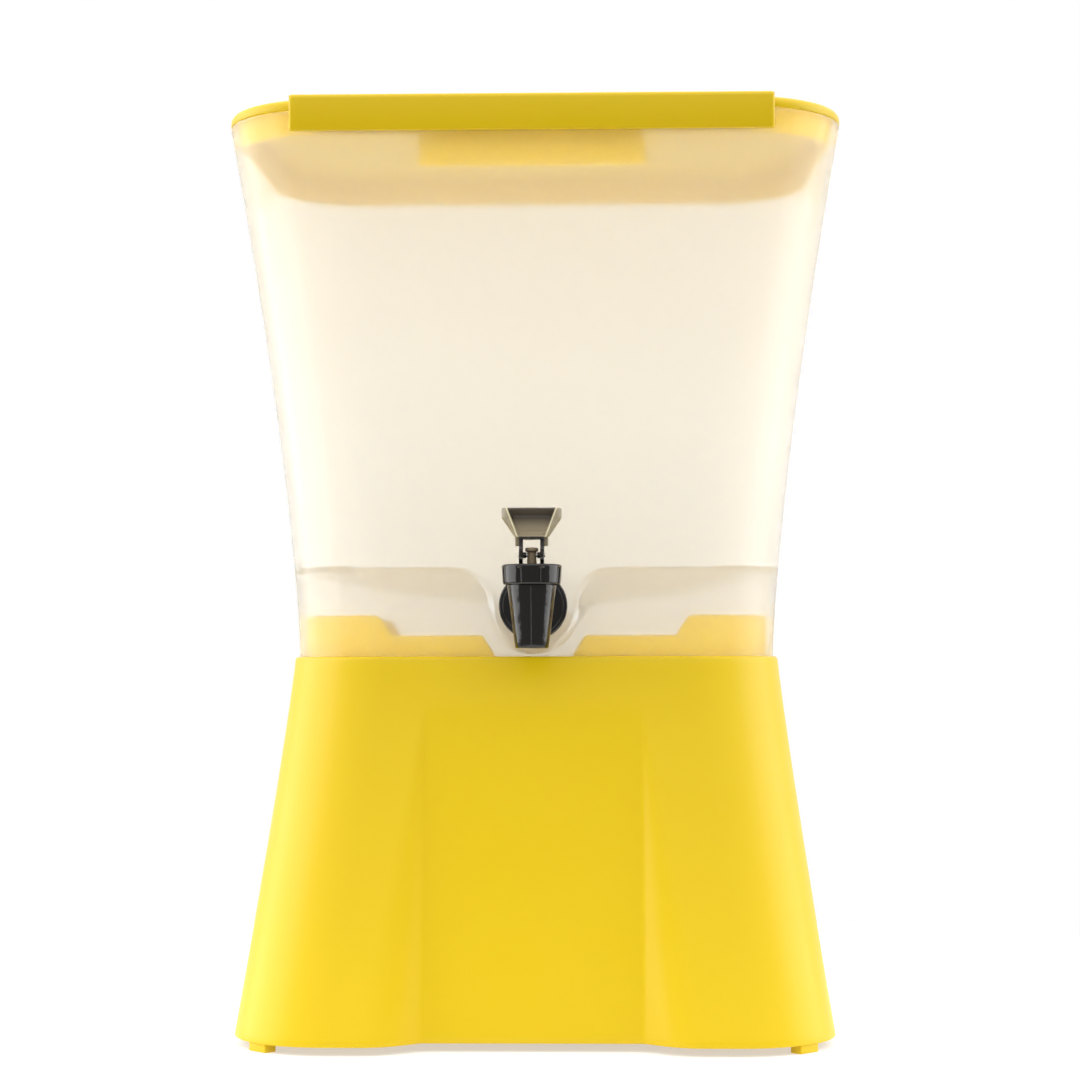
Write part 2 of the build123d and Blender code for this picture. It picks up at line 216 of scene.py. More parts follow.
def quarter(centre, radius, start, end, steps=5):
    """Points on an arc about centre, from one angle to another in degrees."""
    points = []
    for i in range(steps + 1):
        angle = radians(start + (end - start) * i / steps)
        points.append((centre[0] + radius * cos(angle), centre[1] + radius * sin(angle)))
    return points


def soft_prism(name, outline, thickness, matrix, material, bevel, segments=3):
    """A flat outline given as (x, y), thickened along +Z, placed, with rounded edges."""
    bm = bmesh.new()
    low = [bm.verts.new((x, y, 0.0)) for x, y in outline]
    high = [bm.verts.new((x, y, thickness)) for x, y in outline]
    bm.faces.new(list(reversed(low)))
    bm.faces.new(high)
    for i in range(len(outline)):
        j = (i + 1) % len(outline)
        bm.faces.new((low[i], low[j], high[j], high[i]))
    bmesh.ops.recalc_face_normals(bm, faces=bm.faces)
    edges = [e for e in bm.edges if e.calc_face_angle(0) > radians(25)]
    bmesh.ops.bevel(
        bm, geom=edges, offset=bevel, segments=segments, profile=0.5, affect="EDGES", clamp_overlap=True
    )
    bmesh.ops.transform(bm, matrix=Matrix.Scale(MM, 4) @ matrix, verts=bm.verts)
    mesh = bpy.data.meshes.new(name)
    bm.to_mesh(mesh)
    bm.free()
    return finish_object(name, mesh, material)


def soft_box(name, low, high, material, bevel, segments=3, turn=None):
    """A box between two corners with rounded edges, then turned by a matrix."""
    outline = [(low[0], low[1]), (high[0], low[1]), (high[0], high[1]), (low[0], high[1])]
    place = (turn or Matrix.Identity(4)) @ Matrix.Translation((0, 0, low[2]))
    return soft_prism(name, outline, high[2] - low[2], place, material, bevel, segments)


# ---- materials ----

# Painted light and shade in the thumb dish: a paler bronze for the light through its thin wall, darkening
# between these heights to a painted shade under its top lip.
DISH_SHADE_START_Z = 257.5
DISH_SHADE_FULL_Z = 263.5
DISH_LIT_BRONZE = (0.44, 0.365, 0.24)
DISH_PAINTED_SHADE = (0.08, 0.066, 0.05)
MILKY_TINT = (0.98, 0.955, 0.905)
MILKY_DEEP = (0.975, 0.945, 0.89)
MILKY_SCATTER = (0.99, 0.98, 0.95)
MILKY_HAZE = 0.28


def principled(name, colour, roughness, **settings):
    """A node material with the fixed values set on the shader itself."""
    material = bpy.data.materials.new(name)
    material.use_nodes = True
    shader = material.node_tree.nodes["Principled BSDF"]
    shader.inputs["Base Color"].default_value = (*colour, 1.0)
    shader.inputs["Roughness"].default_value = roughness
    for label, value in settings.items():
        shader.inputs[label.replace("_", " ")].default_value = value
    return material, shader


def add_node(material, kind, **values):
    node = material.node_tree.nodes.new(kind)
    for label, value in values.items():
        setattr(node, label, value)
    return node


def noise(material, scale, detail=3.0, stretch=(1, 1, 1)):
    """Noise in the object's own space, so that it stays in place in every view."""
    links = material.node_tree.links
    coords = add_node(material, "ShaderNodeTexCoord")
    mapping = add_node(material, "ShaderNodeMapping")
    mapping.inputs["Scale"].default_value = stretch
    texture = add_node(material, "ShaderNodeTexNoise")
    texture.inputs["Scale"].default_value = scale
    texture.inputs["Detail"].default_value = detail
    links.new(coords.outputs["Object"], mapping.inputs["Vector"])
    links.new(mapping.outputs["Vector"], texture.inputs["Vector"])
    return texture.outputs["Fac"]


def ranged(material, source, low, high, start=0.3, end=0.7):
    """Maps a 0 to 1 value to a range."""
    node = add_node(material, "ShaderNodeMapRange")
    node.inputs["From Min"].default_value = start
    node.inputs["From Max"].default_value = end
    node.inputs["To Min"].default_value = low
    node.inputs["To Max"].default_value = high
    material.node_tree.links.new(source, node.inputs["Value"])
    return node.outputs["Result"]


def tinted(material, source, colour_a, colour_b):
    """Blends two colours by a 0 to 1 value."""
    node = add_node(material, "ShaderNodeMix", data_type="RGBA")
    colours = [s for s in node.inputs if s.type == "RGBA"]
    colours[0].default_value = (*colour_a, 1.0)
    colours[1].default_value = (*colour_b, 1.0)
    material.node_tree.links.new(source, node.inputs["Factor"])
    return [s for s in node.outputs if s.type == "RGBA"][0]


def bump(material, shader, source, distance, strength=1.0):
    node = add_node(material, "ShaderNodeBump")
    node.inputs["Distance"].default_value = distance * MM
    node.inputs["Strength"].default_value = strength
    material.node_tree.links.new(source, node.inputs["Height"])
    material.node_tree.links.new(node.outputs["Normal"], shader.inputs["Normal"])


def yellow_plastic(name, colour, deeper):
    """Satin moulded polypropylene: a very fine grain, cloudy sheen and a slight drift of colour."""
    material, shader = principled(name, colour, 0.37, IOR=1.49, Specular_IOR_Level=0.38)
    links = material.node_tree.links
    shader.inputs["Subsurface Weight"].default_value = 0.12
    shader.inputs["Subsurface Radius"].default_value = (1.0, 0.55, 0.05)
    shader.inputs["Subsurface Scale"].default_value = 3.0 * MM
    links.new(tinted(material, noise(material, 9.0, 2.0), colour, deeper), shader.inputs["Base Color"])
    links.new(ranged(material, noise(material, 24.0, 4.0), 0.34, 0.40), shader.inputs["Roughness"])
    bump(material, shader, noise(material, 1500.0, 2.0), 0.03, 0.35)
    return material


def milky_plastic():
    """Natural polypropylene: part of the light passes straight, part is scattered on its way through.

    What touches the wall shows clearly behind it, and what is further away is washed out.
    """
    material, shader = principled(
        "milky_polypropylene", MILKY_TINT, 0.12, IOR=1.32, Transmission_Weight=0.96
    )
    links = material.node_tree.links
    cloud = noise(material, 14.0, 3.0, (1, 1, 0.5))
    tint = tinted(material, cloud, MILKY_TINT, MILKY_DEEP)
    links.new(tint, shader.inputs["Base Color"])
    links.new(ranged(material, noise(material, 60.0, 4.0), 0.10, 0.14), shader.inputs["Roughness"])
    bump(material, shader, noise(material, 700.0, 2.0), 0.02, 0.3)
    scatter = add_node(material, "ShaderNodeBsdfTranslucent")
    scatter.inputs["Color"].default_value = (*MILKY_SCATTER, 1.0)
    blend = add_node(material, "ShaderNodeMixShader")
    blend.inputs["Fac"].default_value = MILKY_HAZE
    links.new(shader.outputs["BSDF"], blend.inputs[1])
    links.new(scatter.outputs["BSDF"], blend.inputs[2])
    links.new(blend.outputs["Shader"], material.node_tree.nodes["Material Output"].inputs["Surface"])
    return material


def black_plastic(name, colour, roughness, grain, ripple=0.0125):
    """Moulded dark plastic whose gloss is broken by a faint ripple, in millimetres."""
    material, shader = principled(name, colour, roughness, IOR=1.53)
    links = material.node_tree.links
    links.new(
        ranged(material, noise(material, 160.0, 3.0), roughness * 0.8, roughness * 1.3),
        shader.inputs["Roughness"],
    )
    bump(material, shader, noise(material, grain, 3.0), ripple)
    return material


def dish_plastic():
    """The smoky plastic in the thumb dish: a paler bronze below, painted with light through the thin dish,
    and painted shade that darkens it towards the top under the overhanging lip.
    """
    material, shader = principled("dish_smoky_painted_light_and_shade", (0.2, 0.17, 0.11), 0.28, IOR=1.53)
    links = material.node_tree.links
    coords = add_node(material, "ShaderNodeTexCoord")
    parts = add_node(material, "ShaderNodeSeparateXYZ")
    links.new(coords.outputs["Object"], parts.inputs["Vector"])
    # Painted shade: the colour darkens from the lit bronze to near black towards the dish's top, where the
    # lip overhangs it.
    painted_shade_share = ranged(material, parts.outputs["Z"], 0.0, 1.0, DISH_SHADE_START_Z * MM, DISH_SHADE_FULL_Z * MM)
    links.new(tinted(material, painted_shade_share, DISH_LIT_BRONZE, DISH_PAINTED_SHADE), shader.inputs["Base Color"])
    bump(material, shader, noise(material, 220.0, 3.0), 0.05, 0.25)
    return material


def soft_rubber(name, colour):
    """Dull rubber or silicone with a fine grain."""
    material, shader = principled(name, colour, 0.62, IOR=1.42)
    links = material.node_tree.links
    links.new(ranged(material, noise(material, 300.0, 4.0), 0.55, 0.72), shader.inputs["Roughness"])
    bump(material, shader, noise(material, 1200.0, 2.0), 0.03, 0.4)
    return material


def drawn_steel(name):
    """Steel with streaks along its drawing direction."""
    material, shader = principled(name, (0.62, 0.61, 0.59), 0.28, Metallic=1.0)
    links = material.node_tree.links
    streaks = noise(material, 900.0, 3.0, (0.05, 1, 1))
    links.new(ranged(material, streaks, 0.2, 0.36), shader.inputs["Roughness"])
    bump(material, shader, streaks, 0.02, 0.3)
    return material


BASE_YELLOW = yellow_plastic("base_polypropylene", (0.755, 0.53, 0.0), (0.74, 0.515, 0.0))
LID_YELLOW = yellow_plastic("lid_polypropylene", (0.80, 0.56, 0.0), (0.785, 0.545, 0.0))
MILKY = milky_plastic()
GLOSS_BLACK = black_plastic("faucet_gloss_black", (0.010, 0.009, 0.008), 0.10, 110.0, 0.20)
HANDLE_BLACK = black_plastic("handle_satin_black", (0.022, 0.019, 0.016), 0.24, 220.0)
# A paler copy of the handle's smoky plastic, painted with the light that comes through its thin walls; thick
# parts keep the dark copy.
HANDLE_SMOKE_PAINTED_LIGHT = black_plastic("handle_smoky_painted_light", (0.29, 0.245, 0.155), 0.24, 220.0)
# A pale colour painted along the front of each rim of the pad as a highlight.
HANDLE_PAINTED_HIGHLIGHT = black_plastic("handle_rim_painted_highlight", (0.66, 0.60, 0.38), 0.24, 220.0)
NUT_BLACK = black_plastic("nut_black", (0.015, 0.015, 0.016), 0.35, 300.0)
DISH_PAINTED_LIGHT_AND_SHADE = dish_plastic()
STEM_BROWN = black_plastic("stem_smoky", (0.30, 0.225, 0.14), 0.22, 200.0)
SEAL_RUBBER = soft_rubber("seal_rubber", (0.02, 0.02, 0.02))
CUP_SILICONE = soft_rubber("cup_silicone", (0.62, 0.60, 0.56))
STEEL = drawn_steel("spring_and_pin_steel")


# ---- outlines ----

# The tank's booleans lose most of its mesh with 24 steps, so only the base has them.
CORNER_STEPS = 14
BASE_CORNER_STEPS = 24
SIDE_STEPS = 8
SPREAD_STEPS = 7
PLAIN_MARKS = (12.0, 24.0, 36.0, 48.0, 60.0, 70.0)
BASE_MARKS = (
    6.0, 12.0, 19.3, 26.1, 33.0, 40.0, 46.0, 50.0, 52.5, 54.0, 55.0, 56.0, 57.5, 59.5, 62.0, 64.5,
    67.0, 69.5, 72.0, 73.6,
)


def outline(half_x, half_y, corner, marks=PLAIN_MARKS, corner_steps=CORNER_STEPS):
    """Points (x, y) round a rounded rectangle, anticlockwise from the left end of its front.

    The front and back have a point at each mark, the same for every size of outline.
    """
    side_x = half_x - corner
    side_y = half_y - corner
    spread = [marks[-1] + (side_x - marks[-1]) * (i + 1) / SPREAD_STEPS for i in range(SPREAD_STEPS)]
    right = list(marks) + spread
    front = [-x for x in reversed(right)] + [0.0] + right
    points = [(x, -half_y) for x in front]
    steps = [i / corner_steps for i in range(1, corner_steps)]
    points += [(side_x + corner * sin(t * pi / 2), -side_y - corner * cos(t * pi / 2)) for t in steps]
    points += [(half_x, side_y * (2 * i / SIDE_STEPS - 1)) for i in range(SIDE_STEPS + 1)]
    points += [(side_x + corner * cos(t * pi / 2), side_y + corner * sin(t * pi / 2)) for t in steps]
    points += [(x, half_y) for x in reversed(front)]
    points += [(-side_x - corner * sin(t * pi / 2), side_y + corner * cos(t * pi / 2)) for t in steps]
    points += [(-half_x, -side_y * (2 * i / SIDE_STEPS - 1)) for i in range(SIDE_STEPS + 1)]
    points += [(-side_x - corner * cos(t * pi / 2), -side_y - corner * sin(t * pi / 2)) for t in steps]
    return points


def level(points, z):
    return [(x, y, z) for x, y in points]


def between(low, high, steps):
    return [low + (high - low) * i / steps for i in range(steps + 1)]


# ---- base ----

def base_outline(z, inset):
    """The base at a height, pulled in from its outer face, with the recess in its front."""
    drop = max(DECK - z, 0.0) / (DECK - FOOT_HEIGHT)
    spread = drop ** BASE_CURVE
    half = [t + (b - t) * spread - inset for t, b in zip(BASE_TOP_HALF, BASE_BOTTOM_HALF)]
    points = outline(half[0], half[1], BASE_CORNER - inset, BASE_MARKS, BASE_CORNER_STEPS)
    (top_y, top_z), (low_y, low_z) = PANEL_TOP, PANEL_BOTTOM
    panel = top_y + (low_y - top_y) * (top_z - z) / (top_z - low_z) + inset
    depth = panel + half[1]
    blend = min(max(depth * 0.9, 0.0), PANEL_BLEND)
    result = []
    for x, y in points:
        if y < 0 and depth > 0:
            past = abs(x) - PANEL_HALF
            run = past / 2 + sqrt(past * past / 4 + PANEL_CREASE * PANEL_CREASE / 16)
            y = smooth_max(y, panel - run / PANEL_SLOPE, blend)
        result.append((x, y, z))
    return result


def smooth_max(a, b, width):
    """The larger of two numbers, with a rounded change-over."""
    if width <= 0:
        return max(a, b)
    near = max(width - abs(a - b), 0.0) / width
    return max(a, b) + near * near * width / 4


def collar_top(x, y):
    """Height of the collar: full at its sides, stepped down to a notch in front, open at the back."""
    line = COLLAR_BACK if y > 0 else COLLAR_FRONT
    if abs(x) >= line[-1][0]:
        return line[-1][1]
    for (x0, z0), (x1, z1) in zip(line, line[1:]):
        if x0 <= abs(x) <= x1:
            return z0 + (z1 - z0) * (abs(x) - x0) / (x1 - x0)
    return DECK


def collar_outline(inset):
    half_x, half_y = (half - inset for half in COLLAR_HALF)
    return outline(half_x, half_y, COLLAR_CORNER - inset, BASE_MARKS, BASE_CORNER_STEPS)


def collar_ring(inset, drop):
    """A ring on the collar, drop below its top edge."""
    return [(x, y, max(DECK, collar_top(x, y) - drop)) for x, y in collar_outline(inset)]


def deck_ring(inset, z):
    return level(collar_outline(inset), z)


def make_base():
    """One closed skin: up the inside of the skirt, down its outside, then collar and deck."""
    under = DECK - WALL
    rings = [deck_ring(i, under) for i in (*reversed(DECK_RINGS), 4.0)]
    rings += [base_outline(z, WALL) for z in between(under - 0.4, FOOT_HEIGHT + 1.0, 44)]
    rings += [base_outline(z, WALL - r) for r, z in ((0.35, FOOT_HEIGHT + 0.3), (0.9, FOOT_HEIGHT))]
    rings += [base_outline(z, r) for r, z in ((0.9, FOOT_HEIGHT), (0.3, FOOT_HEIGHT + 0.3))]
    rings += [base_outline(z, 0.0) for z in between(FOOT_HEIGHT + 1.0, DECK - BASE_EDGE, 60)]
    edge = [
        (BASE_EDGE - BASE_EDGE * cos(radians(a)), DECK - BASE_EDGE + BASE_EDGE * sin(radians(a)))
        for a in (25, 50, 72, 90)
    ]
    rings += [base_outline(z, inset) for inset, z in edge]
    rings += [deck_ring(-1.2, DECK), deck_ring(0.0, DECK)]
    rings += [collar_ring(0.0, drop) for drop in reversed(COLLAR_DROPS)]
    rings += [collar_ring(0.2, 0.2), collar_ring(0.7, 0.0)]
    rings += [collar_ring(COLLAR_WALL - 0.7, 0.0), collar_ring(COLLAR_WALL - 0.2, 0.2)]
    rings += [collar_ring(COLLAR_WALL, drop) for drop in COLLAR_DROPS]
    rings += [deck_ring(i, DECK) for i in (COLLAR_WALL + 1.0, *DECK_RINGS)]
    shell = mesh_object("base_shell", *skin(rings), BASE_YELLOW, sharp=40.0)
    feet = [make_foot(i, side_x, side_y) for i, (side_x, side_y) in enumerate(CORNERS)]
    return joined("base_shell", [shell] + feet)


def make_foot(index, side_x, side_y):
    """A small foot across a corner of the skirt, with its root up the inside of the wall."""
    half_x, half_y = BASE_BOTTOM_HALF
    centre = Vector((side_x * (half_x - BASE_CORNER), side_y * (half_y - BASE_CORNER), 0))
    turn = Matrix.Translation(centre) @ Matrix.Rotation(atan2(side_y, side_x), 4, "Z")
    reach = BASE_CORNER - FOOT_INSET
    low = (reach - FOOT_DEPTH, -FOOT_HALF_WIDTH, 0.0)
    high = (reach, FOOT_HALF_WIDTH, FOOT_HEIGHT + FOOT_ROOT)
    return soft_box(f"foot_{index}", low, high, BASE_YELLOW, 0.6, turn=turn)


# ---- tank ----

def tank_half(z, inset):
    """Half-width, half-depth and corner radius of the tank at a height."""
    rise = max(z - TANK_BOTTOM, 0.0) / (RIM - TANK_BOTTOM)
    flare = rise ** TANK_FLARE
    sizes = [low + (high - low) * flare for low, high in zip(TANK_BOTTOM_HALF, TANK_RIM_HALF)]
    corner = TANK_CORNERS[0] + (TANK_CORNERS[1] - TANK_CORNERS[0]) * flare
    return sizes[0] - inset, sizes[1] - inset, corner - inset


def tank_ring(z, inset):
    return level(outline(*tank_half(z, inset)), z)


def make_tank_wall():
    """The wall: up its outside, over the rounded rim and down its inside, just clear of the deck."""
    low = DECK + 0.05
    outer, inner = RIM_ROUNDS
    rings = [tank_ring(z, 0.0) for z in between(low + 0.3, RIM - outer, TANK_ROWS)]
    rings += [
        tank_ring(RIM - outer + outer * sin(radians(a)), outer - outer * cos(radians(a)))
        for a in (30, 60, 90)
    ]
    rings += [
        tank_ring(RIM - inner + inner * sin(radians(a)), WALL - inner + inner * cos(radians(a)))
        for a in (90, 50, 0)
    ]
    rings += [tank_ring(z, WALL) for z in between(RIM - 1.6, low + 0.3, TANK_ROWS)]
    rings += [tank_ring(low, WALL - 0.3), tank_ring(low, 0.3)]
    return mesh_object("tank_wall", *skin(rings, closed=True), MILKY)


FLOOR_THICK = 3.2
FLOOR_FRONT = ((170.0, 240.6), (90.0, 239.8), (19.6, 239.8), (19.6, 198.4))
FLOOR_FRONT_ROUNDS = (40.0, 20.0, 19.2)
FLOOR_BACK = ((170.0, 240.6), (90.0, 234.5), (27.0, 228.0), (19.6, 220.0))
FLOOR_BACK_ROUNDS = (40.0, 7.0, 5.0)
FLOOR_REACH = 88.0
FLOOR_INTO_WALL = 0.6
FLOOR_ROWS = 40
ARC_STEPS = 12


def rounded_line(corners, radii):
    """An open line through corners, each inner one rounded with a fixed number of points."""
    points = [corners[0]]
    for i in range(1, len(corners) - 1):
        here = Vector(corners[i])
        back = (Vector(corners[i - 1]) - here).normalized()
        ahead = (Vector(corners[i + 1]) - here).normalized()
        half_angle = acos(max(-1.0, min(1.0, back.dot(ahead)))) / 2
        radius = radii[i - 1]
        distance = radius / sin(half_angle)
        centre = here + (back + ahead).normalized() * distance
        reach = radius * cos(half_angle) / sin(half_angle)
        start = here + back * reach
        finish = here + ahead * reach
        swing = pi - 2 * half_angle
        first = start - centre
        turn = 1 if first.cross(finish - centre) > 0 else -1
        for k in range(ARC_STEPS + 1):
            angle = turn * swing * k / ARC_STEPS
            spoke = Vector((
                first.x * cos(angle) - first.y * sin(angle),
                first.x * sin(angle) + first.y * cos(angle),
            ))
            points.append(tuple(centre + spoke))
    points.append(corners[-1])
    return points


def floor_line(half_line, rounds, drop):
    """The floor's section from its left side to its right side."""
    right = [(x, z - drop) for x, z in half_line[:2]]
    right += [(x + drop, z - drop) for x, z in half_line[2:]]
    left = [(-x, z) for x, z in right]
    radii = [rounds[0], rounds[1] - drop, rounds[2] + drop]
    return rounded_line(left + right[::-1], radii + radii[::-1])


def floor_grid(drop, rows):
    """Rows of points on the floor's top face or, with a drop, on its underside."""
    front = floor_line(FLOOR_FRONT, FLOOR_FRONT_ROUNDS, drop)
    back = floor_line(FLOOR_BACK, FLOOR_BACK_ROUNDS, drop)
    inset = WALL - FLOOR_INTO_WALL
    grid = []
    for share in rows:
        row = []
        for (x0, z0), (x1, z1) in zip(front, back):
            y_front = -tank_half(z0, inset)[1]
            y_back = tank_half(z1, inset)[1]
            y = y_front + (y_back - y_front) * share
            t = (y + FLOOR_REACH) / (2 * FLOOR_REACH)
            x = x0 + (x1 - x0) * t
            z = z0 + (z1 - z0) * t
            half_x, half_y, corner = tank_half(z, inset)
            over = max(abs(y) - (half_y - corner), 0.0)
            limit = half_x - corner + sqrt(max(corner * corner - over * over, 0.0))
            x = max(-limit, min(limit, x))
            row.append((x, y, z))
        grid.append(row)
    return grid


def make_tank_floor():
    """The moulded floor with its sump, as a closed slab that ends inside the walls."""
    rows = [0.5 - 0.5 * cos(pi * i / FLOOR_ROWS) for i in range(FLOOR_ROWS + 1)]
    top = floor_grid(0.0, rows)
    bottom = floor_grid(FLOOR_THICK, rows)
    rings = [a + b[::-1] for a, b in zip(top, bottom)]
    return mesh_object("tank_floor", *skin(rings), MILKY)


def combined(obj, other, operation):
    """Joins another object to one, or takes it away.

    A boolean that fails leaves a nearly empty mesh without a word, so that stops the script.
    """
    modifier = obj.modifiers.new(operation, "BOOLEAN")
    modifier.operation = operation
    modifier.solver = "EXACT"
    modifier.object = other
    graph = bpy.context.evaluated_depsgraph_get()
    mesh = bpy.data.meshes.new_from_object(obj.evaluated_get(graph))
    if len(mesh.polygons) < len(obj.data.polygons) / 2:
        raise RuntimeError(f"{operation} of {obj.name} and {other.name} lost most of the mesh")
    obj.modifiers.clear()
    obj.data = mesh
    bpy.data.objects.remove(other)
    return obj


def make_tank():
    """Wall, floor and faucet boss as one mesh, with the hole for the shank."""
    tank = combined(make_tank_wall(), make_tank_floor(), "UNION")
    tank.name = tank.data.name = "tank_shell"
    boss = [(PAD_RADIUS - 0.6, PAD_FRONT), (PAD_RADIUS, PAD_FRONT + 0.6), (PAD_RADIUS, PAD_BACK - 0.6)]
    boss = [(TANK_HOLE, PAD_FRONT)] + boss + [(PAD_RADIUS - 0.6, PAD_BACK), (TANK_HOLE, PAD_BACK)]
    verts, faces = lathe(boss, ROUND_STEPS, closed=True)
    pad = mesh_object("boss", forward(verts), faces, MILKY)
    tank = combined(tank, pad, "UNION")
    hole = cutter("hole", TANK_HOLE, PAD_FRONT - 4, PAD_BACK + 6, forward, MILKY)
    tank = combined(tank, hole, "DIFFERENCE")
    smooth(tank.data, 35.0)
    return tank


# ---- lid ----

LID_PANEL_DROP = 2.4
LID_SKIN = 2.4
LID_BORDER = 16.0
PLUG_INSET = 5.5
PLUG_WALL = 2.5
PLUG_BOTTOM = 457.9
TAB_HALF = 57.0
TAB_FRONT = -101.4
GRIP_HALF = 121.5
GRIP_WALL = 2.6
GRIP_BOTTOM = 457.2
GRIP_ROUND = 1.8
LID_UNDER = RIM + 0.3
LID_TOP = LID_HIGH[2]


def lid_ring(inset, z):
    half_x, half_y = TANK_RIM_HALF
    return level(outline(half_x - inset, half_y - inset, max(TANK_CORNERS[1] - inset, 4.0)), z)


def make_lid_shell():
    """One closed skin from under the panel, round the plug ring and the rim, to the panel's top."""
    panel = LID_TOP - LID_PANEL_DROP
    step = LID_BORDER - LID_SKIN
    inner = PLUG_INSET + PLUG_WALL
    profile = [(50.0, panel - LID_SKIN), (30.0, panel - LID_SKIN)]
    profile += [(step + 1.0, panel - LID_SKIN)]
    profile += quarter((step + 1.0, panel - LID_SKIN + 1.0), 1.0, -90, -180, 4)
    profile += [(step, LID_TOP - LID_SKIN), (inner + 0.8, LID_TOP - LID_SKIN)]
    profile += quarter((inner + 0.8, LID_TOP - LID_SKIN - 0.8), 0.8, 90, 180, 4)
    profile += [(inner, 465.0)]
    profile += quarter((inner - 1.0, PLUG_BOTTOM + 1.0), 1.0, 0, -90, 4)
    profile += quarter((PLUG_INSET + 1.0, PLUG_BOTTOM + 1.0), 1.0, -90, -180, 4)
    profile += [(PLUG_INSET, 465.0), (PLUG_INSET, LID_UNDER - 0.6), (PLUG_INSET - 0.6, LID_UNDER)]
    profile += [(0.8, LID_UNDER)]
    profile += quarter((0.6, LID_UNDER + 0.6), 0.6, -90, -180, 3)
    profile += quarter((3.6, LID_TOP - 3.6), 3.6, 180, 90, 8)
    profile += [(LID_BORDER - 1.0, LID_TOP)]
    profile += quarter((LID_BORDER - 1.0, LID_TOP - 1.0), 1.0, 90, 0, 4)
    profile += quarter((LID_BORDER + 0.8, panel + 0.8), 0.8, 180, 270, 4)
    profile += [(30.0, panel), (50.0, panel)]
    return mesh_object("lid_shell", *skin([lid_ring(i, z) for i, z in profile]), LID_YELLOW)


def make_grip():
    """The finger grip: an L-shaped lip along the front, open below."""
    front = LID_LOW[1]
    back = 12.0 - TANK_RIM_HALF[1]
    top = LID_TOP
    outer = quarter((front + 2.6, top - 2.6), 2.6, 180, 90, 5)
    inner = quarter((front + GRIP_WALL + 1.2, top - GRIP_WALL - 1.2), 1.2, 90, 180, 4)
    bottom = quarter((front + GRIP_WALL - 0.8, GRIP_BOTTOM + 0.8), 0.8, 0, -90, 3)
    bottom += quarter((front + 0.9, GRIP_BOTTOM + 0.9), 0.9, -90, -180, 3)
    under_border = [(3.4 - TANK_RIM_HALF[1], top), (back, top - 0.6), (back, top - GRIP_WALL)]
    section = outer + under_border + inner + bottom
    ends = [
        (GRIP_HALF - GRIP_ROUND * (1 - cos(radians(a))), GRIP_ROUND * (1 - sin(radians(a))))
        for a in (90, 60, 30, 0)
    ]
    places = [(-x, pull) for x, pull in reversed(ends)]
    places += [(x, 0.0) for x in between(-GRIP_HALF + 6, GRIP_HALF - 6, 24)]
    places += ends
    rings = [grip_section(section, x, pull, front, top) for x, pull in places]
    return mesh_object("lid_grip", *skin(rings), LID_YELLOW)


def grip_section(section, x, pull, front, top):
    """The lip's section at a place along it, its outer faces pulled in to round its ends."""
    points = []
    for y, z in section:
        if y < front + GRIP_WALL / 2:
            y += pull
        if z > top - GRIP_WALL / 2:
            z -= pull * 0.6
        if z < GRIP_BOTTOM + 1.0:
            z += pull * 0.6
        points.append((x, y, z))
    return points


def make_lid():
    shell = make_lid_shell()
    tab = soft_box(
        "lid_tab",
        (-TAB_HALF, TAB_FRONT, LID_LOW[2]),
        (TAB_HALF, TAB_FRONT + PLUG_WALL, LID_UNDER + 2.0),
        LID_YELLOW,
        0.8,
    )
    return joined("lid_shell", [shell, make_grip(), tab])


# ---- faucet ----

FLANGE_RADIUS = 17.3
FLANGE_FRONT = -94.5
FLANGE_BACK = -90.9
SHANK_END = BODY_HIGH[1]
SHOULDER = 229.8
SPOUT_RADII = (8.3, 12.3)
OUTLET = 6.0
SEAT = 211.0
CHAMBER = 8.2
PASSAGE = 5.2
NECK_TOP = 235.6
BONNET_BORE = 11.2
BONNET_ROOF = 2.9
GROOVES = 8


def spout_radius(z):
    low = BODY_LOW[2]
    return SPOUT_RADII[0] + (SPOUT_RADII[1] - SPOUT_RADII[0]) * (z - low) / (SHOULDER - low)


def make_barrel():
    """The tapered valve barrel: outside, spout lip, outlet, seat, chamber and threaded neck."""
    low = BODY_LOW[2]
    profile = [(SPOUT_RADII[0] - 0.7, low)]
    profile += [(SPOUT_RADII[0] - 0.2, low + 0.2), (SPOUT_RADII[0], low + 0.7)]
    profile += [(spout_radius(z), z) for z in between(low + 3, SHOULDER - 0.8, 16)]
    profile += [(SPOUT_RADII[1] - 0.1, SHOULDER - 0.25), (SPOUT_RADII[1] - 0.5, SHOULDER)]
    neck = 11.0
    profile += [(neck, SHOULDER), (neck, SHOULDER + 0.2)]
    pitch = 1.45
    for i in range(3):
        z = SHOULDER + 0.6 + pitch * i
        profile += [(neck - 0.55, z), (neck - 0.55, z + 0.25), (neck, z + 0.65), (neck, z + 0.95)]
    profile += [(neck, NECK_TOP - 0.3), (neck - 0.3, NECK_TOP), (CHAMBER + 0.3, NECK_TOP)]
    profile += [(CHAMBER, NECK_TOP - 0.3), (CHAMBER, SEAT + 0.6), (CHAMBER - 0.4, SEAT)]
    profile += [(OUTLET + 0.5, SEAT), (OUTLET, SEAT - 0.5), (OUTLET, low + 0.6), (OUTLET + 0.5, low)]
    verts, faces = lathe(profile, ROUND_STEPS, closed=True)
    return mesh_object("barrel", upright(verts), faces, GLOSS_BLACK, sharp=30.0)


